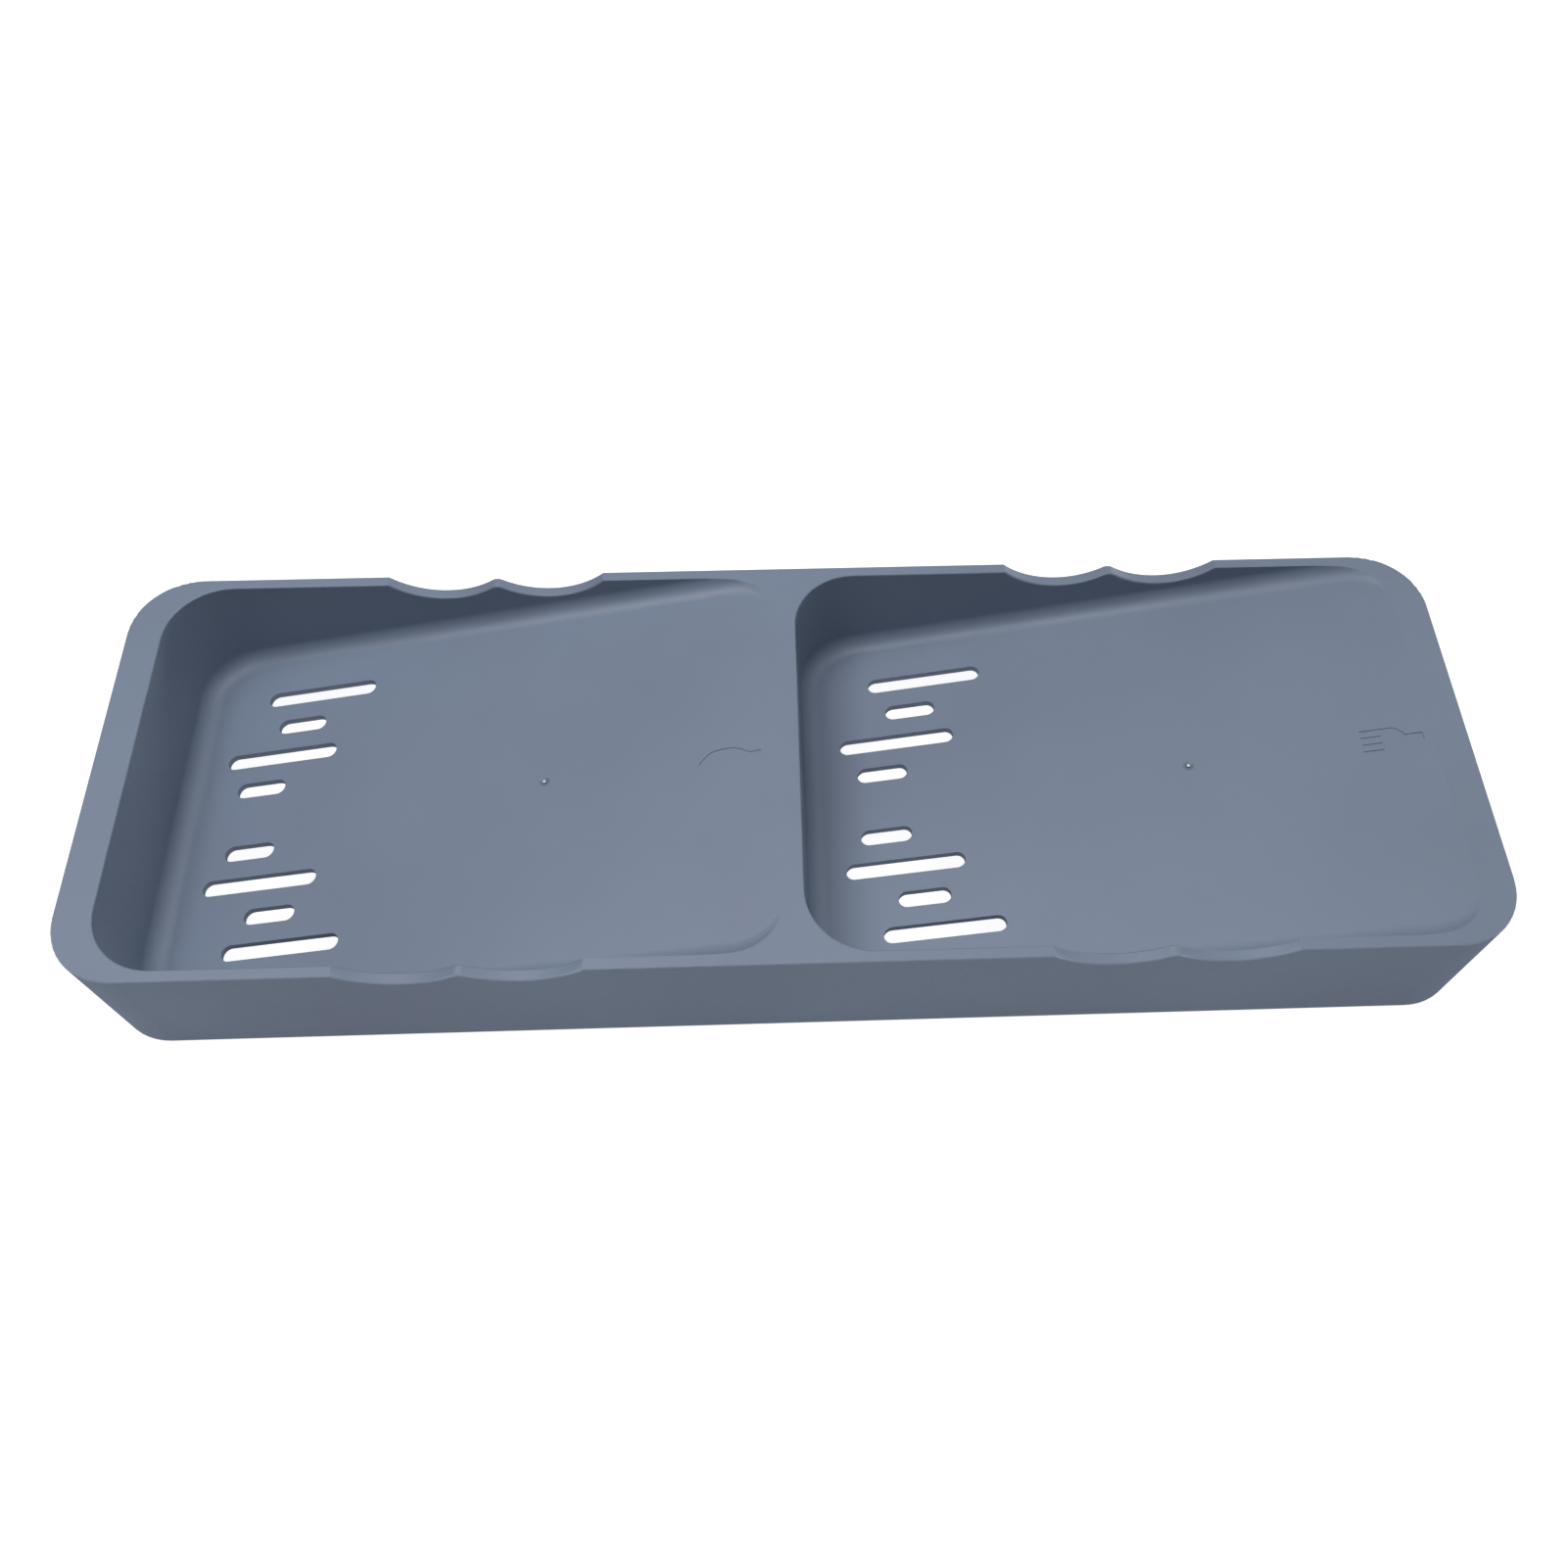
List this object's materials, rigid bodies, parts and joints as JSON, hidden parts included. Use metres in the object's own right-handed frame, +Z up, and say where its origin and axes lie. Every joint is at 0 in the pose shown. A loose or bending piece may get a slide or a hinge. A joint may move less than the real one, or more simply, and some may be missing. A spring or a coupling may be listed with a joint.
{
  "type": "cutlery tray",
  "caption": "Moulded drawer tray for cutlery: end-to-end compartments with sloping slotted floors, finger dips in both long walls, sunk pictograms and soft feet.",
  "frame": {"origin": "centre of the tray at the level of the surface it stands on, under the feet", "axes": "+X along the length from the knife compartment's deep end to the fork compartment's shallow end, +Y from the front wall to the rear wall, +Z up"},
  "size_m": [0.4, 0.137, 0.045],
  "materials": {
    "tray_plastic": "fine satin moulded texture, slate grey",
    "foot_rubber": "matte soft elastomer, dark grey"
  },
  "bodies": {
    "root": {"tray_body": "tray_plastic", "foot_front_left": "foot_rubber", "foot_front_right": "foot_rubber", "foot_rear_left": "foot_rubber", "foot_rear_right": "foot_rubber"}
  },
  "joints": []
}
